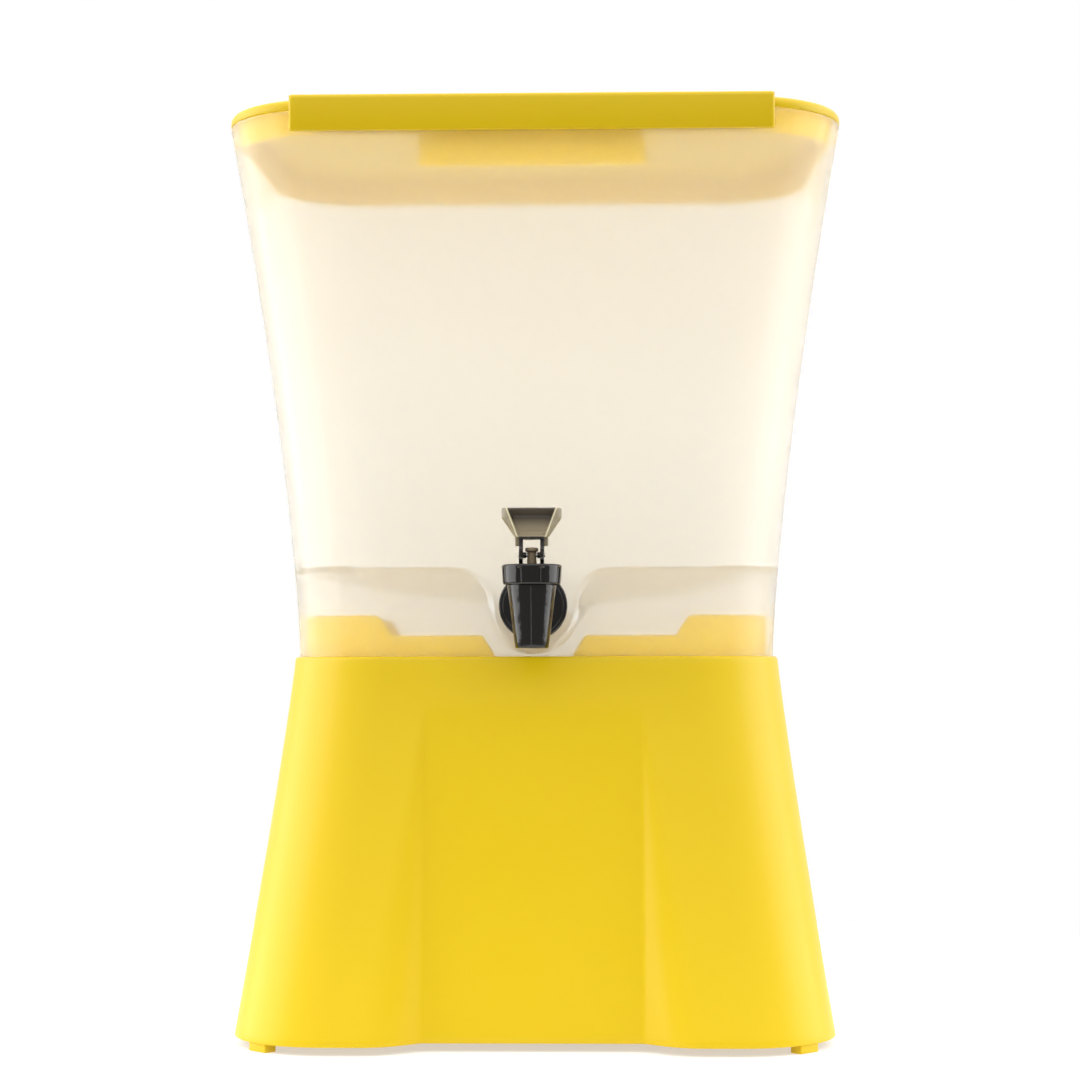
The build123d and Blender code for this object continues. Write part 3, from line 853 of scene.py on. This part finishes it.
def make_flange():
    """Wall flange, neck and threaded shank, turned about the shank's axis."""
    neck = 9.2
    shank = 7.8
    y0 = FLANGE_FRONT
    profile = [(neck - 0.6, VALVE_Y + 6.0), (neck, VALVE_Y + 6.6), (neck, y0 - 2.6)]
    profile += quarter((neck + 1.6, y0 - 2.5), 1.6, 180, 90, 5)
    profile += [(14.7, y0 - 0.9)]
    profile += quarter((14.8, y0 - 0.3), 0.6, -90, 0, 4)
    profile += [(15.4, y0), (FLANGE_RADIUS - 1.2, y0)]
    profile += quarter((FLANGE_RADIUS - 1.2, y0 + 1.2), 1.2, -90, 0, 5)
    profile += [(FLANGE_RADIUS, FLANGE_BACK - 0.4), (FLANGE_RADIUS - 0.4, FLANGE_BACK), (shank, FLANGE_BACK)]
    pitch = 2.3
    y = FLANGE_BACK + 1.2
    while y + pitch < SHANK_END - 1.0:
        profile += [(shank, y), (shank - 0.9, y + 0.75), (shank - 0.9, y + 1.05), (shank, y + 1.8)]
        y += pitch
    profile += [(shank, SHANK_END - 0.8), (shank - 0.7, SHANK_END), (PASSAGE + 0.5, SHANK_END)]
    profile += [(PASSAGE, SHANK_END - 0.5), (PASSAGE, VALVE_Y + 6.0)]
    verts, faces = lathe(profile, ROUND_STEPS, closed=True)
    return mesh_object("flange", forward(verts), faces, GLOSS_BLACK, sharp=30.0)


def make_seam(side):
    """The fine parting line that the mould leaves down the barrel."""
    low = BODY_LOW[2]
    proud = 0.09
    half = 0.2
    points = []
    for z in between(low + 1.0, SHOULDER - 1.0, 6):
        r = spout_radius(z)
        points.append([(-half, side * (r - 0.02), z), (half, side * (r - 0.02), z)])
        points[-1] += [(half * 0.3, side * (r + proud), z), (-half * 0.3, side * (r + proud), z)]
    verts, faces = skin(points)
    name = "seam_front" if side < 0 else "seam_back"
    return mesh_object(name, upright(verts), faces, GLOSS_BLACK)


def make_faucet_body():
    """Barrel and shank, open to each other through the chamber's wall."""
    passage = cutter("passage", PASSAGE, VALVE_Y, VALVE_Y + 13.0, forward, GLOSS_BLACK)
    barrel = combined(make_barrel(), passage, "DIFFERENCE")
    chamber = cutter("chamber", CHAMBER, SEAT - 0.6, NECK_TOP, upright, GLOSS_BLACK)
    flange = combined(make_flange(), chamber, "DIFFERENCE")
    for piece in (barrel, flange):
        smooth(piece.data, 30.0)
    return joined("spout_body", [barrel, flange, make_seam(-1), make_seam(1)])


def bonnet_shift(angle, radius, height):
    """Grip lobes round the bonnet: slightly flat, with a rounded groove between each two."""
    if radius < 13.0:
        return radius
    sector = 2 * pi / GROOVES
    from_groove = abs(angle % sector - sector / 2)
    lobe = sector / 2 - from_groove
    flat = radius * (1 - cos(sector / 2) / cos(lobe)) * 0.06
    half_width = 1.25 / radius
    groove = 0.0
    if from_groove < half_width:
        fade = max(0.0, min(1.0, (BONNET_HIGH[2] - 1.3 - height) / 0.9))
        groove = 0.85 * fade * sqrt(1 - (from_groove / half_width) ** 2)
    return radius - max(flat, groove)


def make_bonnet():
    """The screw cap: grooved outside, open below, with the stem's hole in its roof."""
    low, high = BONNET_LOW[2], BONNET_HIGH[2]
    r0, r1 = 14.4, 15.1
    hole = 2.5
    roof = high - BONNET_ROOF
    profile = [(BONNET_BORE + 0.4, low), (r0 - 0.3, low), (r0, low + 0.3)]
    heights = between(low + 1.0, high - 3.0, 5) + between(high - 2.8, high - 1.3, 8)
    profile += [(r0 + (r1 - r0) * (z - low) / (high - low), z) for z in heights]
    profile += quarter((r1 - 1.2, high - 1.2), 1.15, 6, 90, 8)
    profile += [(hole + 1.2, high), (hole + 0.25, high - 0.1), (hole, high - 0.4), (hole, roof + 0.2)]
    profile += [(hole + 0.3, roof), (BONNET_BORE - 0.4, roof)]
    profile += [(BONNET_BORE, roof - 0.4), (BONNET_BORE, low + 0.4)]
    verts, faces = lathe(profile, 320, bonnet_shift, closed=True)
    return mesh_object("bonnet_cap", upright(verts), faces, GLOSS_BLACK, sharp=40.0)


def make_stem():
    """The stem: a rod with a mushroom head over the waist that the pin goes through."""
    foot = 215.2
    top = 248.2
    profile = [(0.0, foot), (2.2, foot), (2.4, foot + 0.3), (2.4, PIN_Z - 2.6), (2.25, PIN_Z - 1.6)]
    profile += [(2.25, PIN_Z + 1.2), (2.5, PIN_Z + 1.6), (3.0, PIN_Z + 1.8), (3.25, PIN_Z + 2.1)]
    profile += quarter((2.4, top - 0.85), 0.85, 0, 90, 5)
    profile += [(1.2, top), (0.0, top)]
    verts, faces = lathe(profile, 48)
    return mesh_object("stem_rod", upright(verts), faces, STEM_BROWN, sharp=30.0)


SPRING_RADIUS = 4.6
SPRING_WIRE = 0.45
SPRING_TURNS = 7
SPRING_STEPS = 32
SPRING_SIDES = 12


def make_spring():
    """The return spring between cup and bonnet, its first and last turns wound close."""
    close = 2.1 * SPRING_WIRE
    height = SPRING_HIGH[2] - SPRING_LOW[2] - 2 * SPRING_WIRE
    pitch = (height - 2 * close) / (SPRING_TURNS - 2)
    z = SPRING_LOW[2] + SPRING_WIRE
    rings = []
    for i in range(SPRING_TURNS * SPRING_STEPS + 1):
        turn = i / SPRING_STEPS
        climb = close if turn < 1 or turn >= SPRING_TURNS - 1 else pitch
        angle = 2 * pi * turn
        outward = Vector((cos(angle), sin(angle), 0))
        along = Vector((-SPRING_RADIUS * sin(angle), SPRING_RADIUS * cos(angle), climb / (2 * pi)))
        across = along.normalized().cross(outward)
        centre = outward * SPRING_RADIUS + Vector((0, 0, z))
        spokes = [2 * pi * k / SPRING_SIDES for k in range(SPRING_SIDES)]
        rings.append([tuple(centre + (outward * cos(t) + across * sin(t)) * SPRING_WIRE) for t in spokes])
        z += climb / SPRING_STEPS
    verts, faces = skin(rings)
    return mesh_object("spring_coil", upright(verts), faces, STEEL)


def make_nut():
    """Hexagonal shank nut with a round washer face and chamfered corners."""
    front, back = NUT_LOW[1], NUT_HIGH[1]
    flat = (NUT_HIGH[2] - NUT_LOW[2]) / 2

    def hexagon(angle, radius, height):
        if radius < 9.5:
            return radius
        near = (angle + pi / 6) % (pi / 3) - pi / 6
        return min(radius, flat / cos(near))

    corner = flat / cos(pi / 6)
    profile = [(7.9, front), (flat - 0.6, front), (flat - 0.6, front + 0.5), (corner, front + 1.6)]
    profile += [(corner, y) for y in between(front + 2.4, back - 1.6, 3)]
    profile += [(flat - 0.4, back - 0.2), (flat - 1.0, back), (8.6, back), (7.9, back - 0.7)]
    verts, faces = lathe(profile, 144, hexagon, closed=True)
    return mesh_object("shank_nut_hex", forward(verts), faces, NUT_BLACK, sharp=25.0)


# ---- handle ----

LIFT = 4.0
TILT = 45.0
LEG_INNER = 4.3
LEG_OUTER = 6.2
LEG_RISE = 9.2
CAM_GAP = 0.2
THUMB_FRONT = -122.0
THUMB_BACK = -112.4
BAR_BOTTOM = 252.1
BAR_TOP = 253.5
PAD_TOP = HANDLE_HIGH[2]
PAD_WIDE = 262.8
PAD_LOW = 253.0
PAD_TOP_HALF = 14.8
PAD_LOW_HALF = 8.2
PAD_RIM = 6.4
PAD_RIM_SPREAD = 5.6


def pad_half(z):
    """Half-width of the thumb pad: upright edges at its top, slanting in below."""
    if z >= PAD_WIDE:
        return PAD_TOP_HALF
    if z <= PAD_LOW:
        return PAD_LOW_HALF
    share = (z - PAD_LOW) / (PAD_WIDE - PAD_LOW)
    return PAD_LOW_HALF + (PAD_TOP_HALF - PAD_LOW_HALF) * share


def pad_section(z, shrink=0.0):
    """The pad's outline at a height: two thin rims with a dish between them and flared sides."""
    half = pad_half(z) - shrink
    share = (z - PAD_LOW) / (PAD_TOP - PAD_LOW)
    rim = PAD_RIM + PAD_RIM_SPREAD * max(share, 0.0)
    lip = 0.55
    front = THUMB_FRONT + 0.9 * (1 - share) + shrink
    up = min(1.0, max(0.0, (z - PAD_LOW) / 3.0))
    ceiling = min(1.0, max(0.0, (PAD_TOP - 0.9 - z) / 3.6))
    depth = 5.2 * sin(up * pi / 2) * sin(ceiling * pi / 2)
    back = THUMB_BACK - shrink - 1.2 * share
    side = front + 4.6 - 1.4 * share
    half_section = [
        (0.0, front + depth), (rim * 0.45, front + depth), (rim - 1.3, front + depth * 0.94),
        (rim - 0.5, front + depth * 0.70), (rim - 0.1, front + depth * 0.25), (rim, front + 0.12),
        (rim + lip * 0.35, front), (rim + lip, front + 0.15), (rim + lip + 0.25, front + 0.5),
        ((rim + half) / 2 + 0.2, (front + side) / 2 + 0.2), (half - 0.25, side - 0.35), (half, side + 0.35),
        (half, back - 0.8), (half - 0.8, back), (half * 0.5, back + 0.1),
    ]
    left = [(-x, y, z) for x, y in reversed(half_section[1:])]
    return left + [(x, y, z) for x, y in half_section] + [(0.0, back + 0.12, z)]


def make_pad():
    """The thumb pad: sides in the paler smoky copy painted with light through its thin walls, a dish with
    painted shade and a painted highlight along the rims round it.
    """
    low = BAR_TOP - 0.2
    rings = [pad_section(low, 0.35), pad_section(low + 0.25, 0.08)]
    rings += [pad_section(z) for z in between(low + 0.7, PAD_TOP - 5.0, 14)]
    rings += [pad_section(z) for z in between(PAD_TOP - 4.6, PAD_TOP - 0.7, 9)]
    rings += [pad_section(PAD_TOP - 0.3, 0.12), pad_section(PAD_TOP, 0.45)]
    pad = mesh_object("pad", *skin(rings), HANDLE_SMOKE_PAINTED_LIGHT, sharp=42.0)
    pad.data.materials.append(DISH_PAINTED_LIGHT_AND_SHADE)
    pad.data.materials.append(HANDLE_PAINTED_HIGHLIGHT)
    for face in pad.data.polygons:
        x, y, z = (v / MM for v in face.center)
        share = max((z - PAD_LOW) / (PAD_TOP - PAD_LOW), 0.0)
        from_rim = abs(x) - (PAD_RIM + PAD_RIM_SPREAD * share)
        if face.normal.y > 0.3 or y > THUMB_FRONT + 7.0:
            continue
        # Faces inside the rims take the dish with its painted light and shade.
        if from_rim < -0.12:
            face.material_index = 1
        # A strip along each rim's front takes the painted highlight.
        elif from_rim < 0.85 and y < THUMB_FRONT + 1.8:
            face.material_index = 2
    return pad


def cam_point(tilt):
    """Where a leg's cam meets the bonnet at a tilt, as Y and Z from the pin."""
    rise = LIFT / radians(TILT)
    angle = radians(tilt)
    reach = PIN_Z - BONNET_HIGH[2] - CAM_GAP + rise * angle
    return (-reach * sin(angle) - rise * cos(angle), -reach * cos(angle) + rise * sin(angle))


def make_leg(side):
    """A leg: a thin plate round the pin whose front is the cam that lifts the stem.

    Its points are Y and Z from the pin.
    """
    outline_points = [cam_point(TILT * i / 9) for i in range(10)]
    toe = outline_points[-1]
    outline_points += [(toe[0] + 0.5, toe[1] + 1.0), (toe[0] + 1.6, toe[1] + 1.5), (-5.2, 1.6), (-4.0, 3.0)]
    outline_points += [(-3.6, 4.8), (-3.6, LEG_RISE), (2.4, LEG_RISE), (2.6, 4.0), (3.2, 1.0)]
    outline_points += [(3.3, outline_points[0][1] + 1.0), (2.4, outline_points[0][1])]
    outline_points = outline_points[::-1]
    start = LEG_INNER if side > 0 else -LEG_OUTER
    axes = Matrix(((0, 0, 1, start), (1, 0, 0, VALVE_Y), (0, 1, 0, PIN_Z), (0, 0, 0, 1)))
    name = "leg_right" if side > 0 else "leg_left"
    return soft_prism(name, outline_points, LEG_OUTER - LEG_INNER, axes, HANDLE_BLACK, 0.22)


def make_ear(side):
    """The short drop of the pad's edge beside a leg."""
    x = sorted((side * (LEG_OUTER - 0.3), side * PAD_LOW_HALF))
    name = "ear_right" if side > 0 else "ear_left"
    # The ear takes the paler smoky copy, painted with the light through its thin wall.
    return soft_box(name, (x[0], -118.0, 249.05), (x[1], THUMB_BACK, 255.5), HANDLE_SMOKE_PAINTED_LIGHT, 0.5)


def make_boss(side):
    """The round boss on a leg that the pin goes through, reaching in under the stem's head."""
    reach = [(1.05, 0.0), (1.3, 0.0), (1.5, 0.2), (1.5, 1.75), (1.05, 1.75)]
    verts, faces = lathe(reach, 32, closed=True)
    verts = [(side * (2.75 + z), y + VALVE_Y, x + PIN_Z) for x, y, z in verts]
    name = "boss_right" if side > 0 else "boss_left"
    return mesh_object(name, verts, faces, HANDLE_BLACK)


def make_handle():
    pieces = [make_pad()] + [make(side) for make in (make_leg, make_ear, make_boss) for side in (-1, 1)]
    bar_low = (-LEG_OUTER, THUMB_FRONT + 1.1, BAR_BOTTOM)
    bar_high = (LEG_OUTER, THUMB_BACK - 0.4, BAR_TOP)
    pieces.append(soft_box("crossbar", bar_low, bar_high, HANDLE_BLACK, 0.3))
    return joined("thumb_handle", pieces)


# ---- what rides where ----

def place(piece, body, material_slot, *nodes):
    """Puts a piece on its body, in place of its CAD nodes."""
    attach(piece, body)
    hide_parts(*nodes)


place(make_base(), "base", "base_plastic", "base_stand")
place(make_tank(), "reservoir", "tank_plastic", "tank")
place(make_lid(), "cover", "lid_plastic", "lid")
place(make_faucet_body(), "reservoir", "faucet_plastic", "faucet_body")
place(make_bonnet(), "reservoir", "faucet_plastic", "faucet_bonnet")
place(make_nut(), "reservoir", "nut_plastic", "shank_nut")
place(make_stem(), "stem", "stem_plastic", "valve_stem")
place(make_handle(), "handle", "handle_plastic", "faucet_handle")
coil = make_spring()
place(coil, "stem", "spring_steel", "stem_spring")
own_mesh(coil)

CAD_FINISHES = {
    "outer_washer": SEAL_RUBBER,
    "inner_washer": SEAL_RUBBER,
    "seat_cup": CUP_SILICONE,
    "handle_pin": STEEL,
}
for node, material in CAD_FINISHES.items():
    for material_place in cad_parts[node].material_slots:
        material_place.material = material


# ---- studio ----

FLOOR_RADIUS = 0.55
FLOOR_ALBEDO = 0.6
FLOOR_GLOW = 0.5
WORLD_FRONT = 0.26
WORLD_BACK = 1.0
WORLD_ABOVE = 1.6
WORLD_THROUGH = 0.98
WORLD_INSIDE = 1.95
BEHIND_SPAN = (-0.25, 0.4)
ABOVE_SPAN = (0.2, 0.5)
AHEAD_SPAN = (-0.1, 0.25)
LIGHT_TARGET = (0.0, 0.0, 0.3)
SOFTBOXES = (
    ("softbox_left", (-1.5, 0.0, 0.55), (1.7, 1.3), 16.0),
    ("softbox_right", (1.5, 0.05, 0.55), (1.2, 1.3), 9.8),
)
CAMERA_PLACE = (0.0379, -1.3806, 0.1922)
CAMERA_YAW = 0.0267
CAMERA_PITCH = 0.0472
CAMERA_ROLL = 0.0017
CAMERA_LENS = 85.25


def make_floor():
    """A round white table top, which ends where the plain surround takes over."""
    turns = [2 * pi * i / ROUND_STEPS for i in range(ROUND_STEPS)]
    rim = [(FLOOR_RADIUS * cos(turn), FLOOR_RADIUS * sin(turn), 0) for turn in turns]
    mesh = bpy.data.meshes.new("studio_floor")
    mesh.from_pydata(rim, [], [tuple(range(ROUND_STEPS))])
    floor = bpy.data.objects.new("studio_floor", mesh)
    bpy.context.scene.collection.objects.link(floor)
    material, shader = principled("studio_white", (FLOOR_ALBEDO, FLOOR_ALBEDO, FLOOR_ALBEDO), 0.9)
    shader.inputs["Emission Color"].default_value = (1.0, 1.0, 1.0, 1.0)
    shader.inputs["Emission Strength"].default_value = FLOOR_GLOW
    mesh.materials.append(material)


def world_ramp(nodes, links, source, start, end, low, high):
    """A smooth change of strength along one direction of the surround."""
    ramp = nodes.new("ShaderNodeMapRange")
    ramp.interpolation_type = "SMOOTHSTEP"
    ramp.inputs["From Min"].default_value = start
    ramp.inputs["From Max"].default_value = end
    ramp.inputs["To Min"].default_value = low
    ramp.inputs["To Max"].default_value = high
    links.new(source, ramp.inputs["Value"])
    return ramp.outputs["Result"]


def world_math(nodes, links, operation, a, b):
    node = nodes.new("ShaderNodeMath")
    node.operation = operation
    links.new(a, node.inputs[0])
    links.new(b, node.inputs[1])
    return node.outputs["Value"]


def make_world():
    """A white surround, plain in view, that lights the object from behind and above more than in front.

    Rays that have passed through plastic see it white behind the object and brighter in front.
    """
    world = bpy.data.worlds.new("studio_world")
    world.use_nodes = True
    nodes, links = world.node_tree.nodes, world.node_tree.links
    background = nodes["Background"]
    background.inputs["Color"].default_value = (1.0, 1.0, 1.0, 1.0)
    coords = nodes.new("ShaderNodeTexCoord")
    parts = nodes.new("ShaderNodeSeparateXYZ")
    links.new(coords.outputs["Generated"], parts.inputs["Vector"])
    side, height = parts.outputs["Y"], parts.outputs["Z"]
    behind = world_ramp(nodes, links, side, *BEHIND_SPAN, WORLD_FRONT, WORLD_BACK)
    above = world_ramp(nodes, links, height, *ABOVE_SPAN, WORLD_FRONT, WORLD_ABOVE)
    around = world_math(nodes, links, "MAXIMUM", behind, above)
    rays = nodes.new("ShaderNodeLightPath")
    in_view, past_plastic = rays.outputs["Is Camera Ray"], rays.outputs["Is Transmission Ray"]
    ahead = world_ramp(nodes, links, side, *AHEAD_SPAN, WORLD_INSIDE, WORLD_THROUGH)
    through = world_math(nodes, links, "MULTIPLY", past_plastic, ahead)
    seen = world_math(nodes, links, "MAXIMUM", in_view, through)
    hidden = world_math(nodes, links, "MAXIMUM", in_view, past_plastic)
    strength = nodes.new("ShaderNodeMix")
    links.new(hidden, strength.inputs["Factor"])
    links.new(around, strength.inputs["A"])
    links.new(seen, strength.inputs["B"])
    links.new(strength.outputs["Result"], background.inputs["Strength"])
    bpy.context.scene.world = world


def soft_light(name, place_m, target_m, size, power):
    data = bpy.data.lights.new(name, "AREA")
    data.shape = "RECTANGLE"
    data.size, data.size_y = size
    data.energy = power
    light = bpy.data.objects.new(name, data)
    light.location = place_m
    direction = Vector(target_m) - Vector(place_m)
    light.rotation_euler = direction.to_track_quat("-Z", "Y").to_euler()
    light.visible_camera = False
    bpy.context.scene.collection.objects.link(light)


def make_lights():
    for name, place_m, size, power in SOFTBOXES:
        soft_light(name, place_m, LIGHT_TARGET, size, power)


def make_camera():
    """The viewpoint: level with the deck, 1.38 m in front, looking slightly up."""
    data = bpy.data.cameras.new("camera")
    data.sensor_width = 36.0
    data.lens = CAMERA_LENS
    data.clip_start = 0.05
    camera = bpy.data.objects.new("camera", data)
    camera.location = CAMERA_PLACE
    turn = Matrix.Rotation(CAMERA_YAW, 4, "Z") @ Matrix.Rotation(pi / 2 + CAMERA_PITCH, 4, "X")
    turn = turn @ Matrix.Rotation(-CAMERA_ROLL, 4, "Z")
    camera.rotation_euler = turn.to_euler()
    bpy.context.scene.collection.objects.link(camera)
    bpy.context.scene.camera = camera


make_floor()
make_world()
make_lights()
make_camera()
bpy.context.scene.view_settings.view_transform = "Standard"
